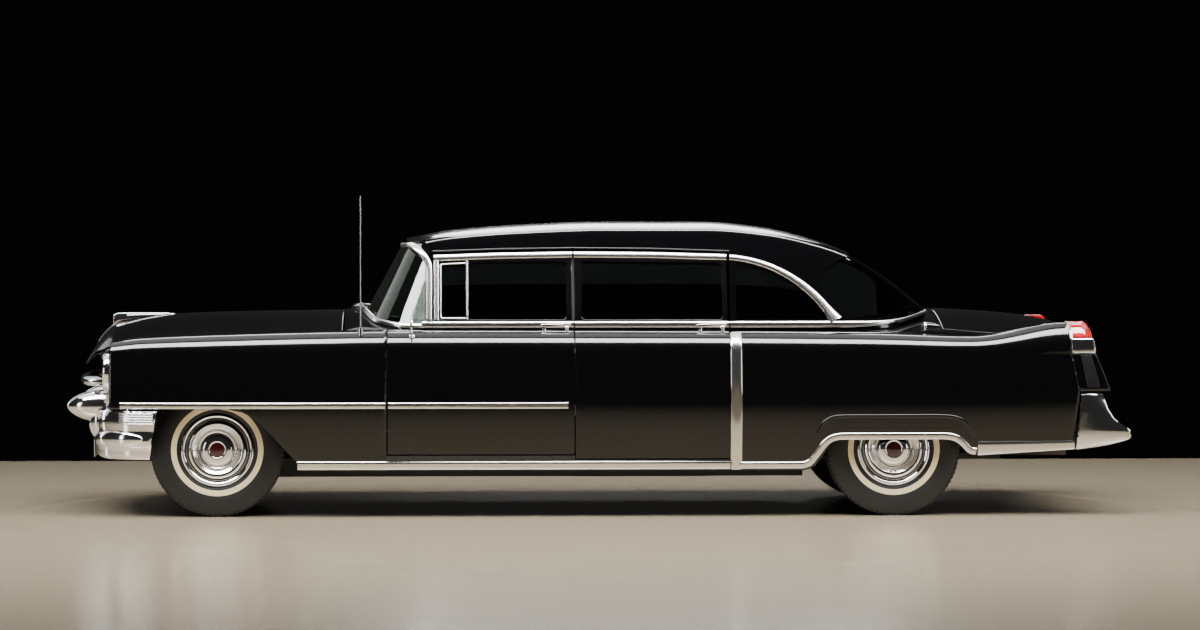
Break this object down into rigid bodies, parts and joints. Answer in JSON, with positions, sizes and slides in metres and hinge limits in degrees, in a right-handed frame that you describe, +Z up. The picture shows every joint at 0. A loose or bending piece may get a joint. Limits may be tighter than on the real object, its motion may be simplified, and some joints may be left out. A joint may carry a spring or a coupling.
{
  "type": "limousine",
  "caption": "Long-wheelbase four-door limousine with opening doors, hood and boot lid, steered front wheels, chrome bumpers with bullet guards and tail fins.",
  "frame": {"origin": "on the floor under the middle of the overall box", "axes": "+X to the tail, +Y to the car's right side, +Z up; the nose points to -X"},
  "size_m": [6.022, 2.029, 1.799],
  "materials": {
    "body_paint": "gloss black enamel",
    "chrome": "polished chrome plate",
    "tinted_glass": "dark tinted glass",
    "clear_glass": "pale green tinted glass",
    "frame_paint": "satin black chassis paint",
    "lamp_glass": "clear fluted lens",
    "red_lens": "red moulded lens",
    "plate_blank": "satin, blank",
    "seat_cloth": "woven wool cloth",
    "trim_panel": "black grained leather",
    "dash_paint": "satin dark enamel",
    "wheel_plastic": "moulded teal plastic",
    "cast_block": "painted casting",
    "exhaust_steel": "dull steel tube",
    "tyre": "black rubber with a cream sidewall band"
  },
  "bodies": {
    "body": {"antenna": "chrome", "backlight": "tinted_glass", "bumper_front": "chrome", "bumper_rear": "chrome", "chassis_frame": "frame_paint", "cowl": "body_paint", "dashboard": "dash_paint", "driveline": "cast_block", "engine": "cast_block", "exhaust": "exhaust_steel", "floor_pan": "frame_paint", "front_fender_left": "body_paint", "front_fender_right": "body_paint", "front_seat": "seat_cloth", "front_suspension": "frame_paint", "grille": "chrome", "headlamps": "lamp_glass", "licence_plates": "plate_blank", "partition": "trim_panel", "quarter_glass": "tinted_glass", "quarter_left": "body_paint", "quarter_right": "body_paint", "rear_axle": "frame_paint", "rear_deck": "body_paint", "rear_seat": "seat_cloth", "roof": "body_paint", "tail_lamps": "red_lens", "windshield": "clear_glass"},
    "door_front_left": {"door_front_left": "body_paint", "door_front_glass_left": "tinted_glass", "mirror_left": "chrome"},
    "door_front_right": {"door_front_right": "body_paint", "door_front_glass_right": "tinted_glass", "mirror_right": "chrome"},
    "door_rear_left": {"door_rear_left": "body_paint", "door_rear_glass_left": "tinted_glass"},
    "door_rear_right": {"door_rear_right": "body_paint", "door_rear_glass_right": "tinted_glass"},
    "hood": {"hood": "body_paint"},
    "trunk_lid": {"trunk_lid": "body_paint"},
    "knuckle_left": {"knuckle_left": "frame_paint"},
    "knuckle_right": {"knuckle_right": "frame_paint"},
    "wheel_front_left": {"wheel_front_left": "chrome", "tyre_front_left": "tyre"},
    "wheel_front_right": {"wheel_front_right": "chrome", "tyre_front_right": "tyre"},
    "wheel_rear_left": {"wheel_rear_left": "chrome", "tyre_rear_left": "tyre"},
    "wheel_rear_right": {"wheel_rear_right": "chrome", "tyre_rear_right": "tyre"},
    "steering_wheel": {"steering_wheel": "wheel_plastic"}
  },
  "joints": [
    {"name": "door_front_left_hinge", "type": "hinge", "parent": "body", "child": "door_front_left", "pos_m": [-1.1928, -1.006, 0.7], "axis": [0, 0, -1], "range_deg": [0, 65]},
    {"name": "door_front_right_hinge", "type": "hinge", "parent": "body", "child": "door_front_right", "pos_m": [-1.1928, 1.006, 0.7], "axis": [0, 0, 1], "range_deg": [0, 65]},
    {"name": "door_rear_left_hinge", "type": "hinge", "parent": "body", "child": "door_rear_left", "pos_m": [-0.1408, -1.008, 0.7], "axis": [0, 0, -1], "range_deg": [0, 65]},
    {"name": "door_rear_right_hinge", "type": "hinge", "parent": "body", "child": "door_rear_right", "pos_m": [-0.1408, 1.008, 0.7], "axis": [0, 0, 1], "range_deg": [0, 65]},
    {"name": "hood_hinge", "type": "hinge", "parent": "body", "child": "hood", "pos_m": [-1.4412, 0, 1.144], "axis": [0, 1, 0], "range_deg": [0, 45]},
    {"name": "trunk_lid_hinge", "type": "hinge", "parent": "body", "child": "trunk_lid", "pos_m": [1.9572, 0, 1.148], "axis": [0, -1, 0], "range_deg": [0, 60]},
    {"name": "steer_left", "type": "hinge", "parent": "body", "child": "knuckle_left", "pos_m": [-2.146, -0.646, 0.376], "axis": [0, 0, 1], "range_deg": [-32, 32]},
    {"name": "steer_right", "type": "hinge", "parent": "body", "child": "knuckle_right", "pos_m": [-2.146, 0.646, 0.376], "axis": [0, 0, 1], "range_deg": [-32, 32]},
    {"name": "wheel_front_left_spin", "type": "hinge", "parent": "knuckle_left", "child": "wheel_front_left", "pos_m": [-2.146, -0.762, 0.376], "axis": [0, 1, 0], "continuous": true},
    {"name": "wheel_front_right_spin", "type": "hinge", "parent": "knuckle_right", "child": "wheel_front_right", "pos_m": [-2.146, 0.762, 0.376], "axis": [0, 1, 0], "continuous": true},
    {"name": "wheel_rear_left_spin", "type": "hinge", "parent": "body", "child": "wheel_rear_left", "pos_m": [1.659, -0.8015, 0.376], "axis": [0, 1, 0], "continuous": true},
    {"name": "wheel_rear_right_spin", "type": "hinge", "parent": "body", "child": "wheel_rear_right", "pos_m": [1.659, 0.8015, 0.376], "axis": [0, 1, 0], "continuous": true},
    {"name": "steering_wheel_turn", "type": "hinge", "parent": "body", "child": "steering_wheel", "pos_m": [-0.846, -0.38, 0.92], "axis": [0.8829, 0, 0.4695], "range_deg": [-640, 640]}
  ],
  "couplings": [
    {"joint": "steer_right", "follows": "steer_left", "ratio": 1},
    {"joint": "steering_wheel_turn", "follows": "steer_left", "ratio": 20}
  ]
}
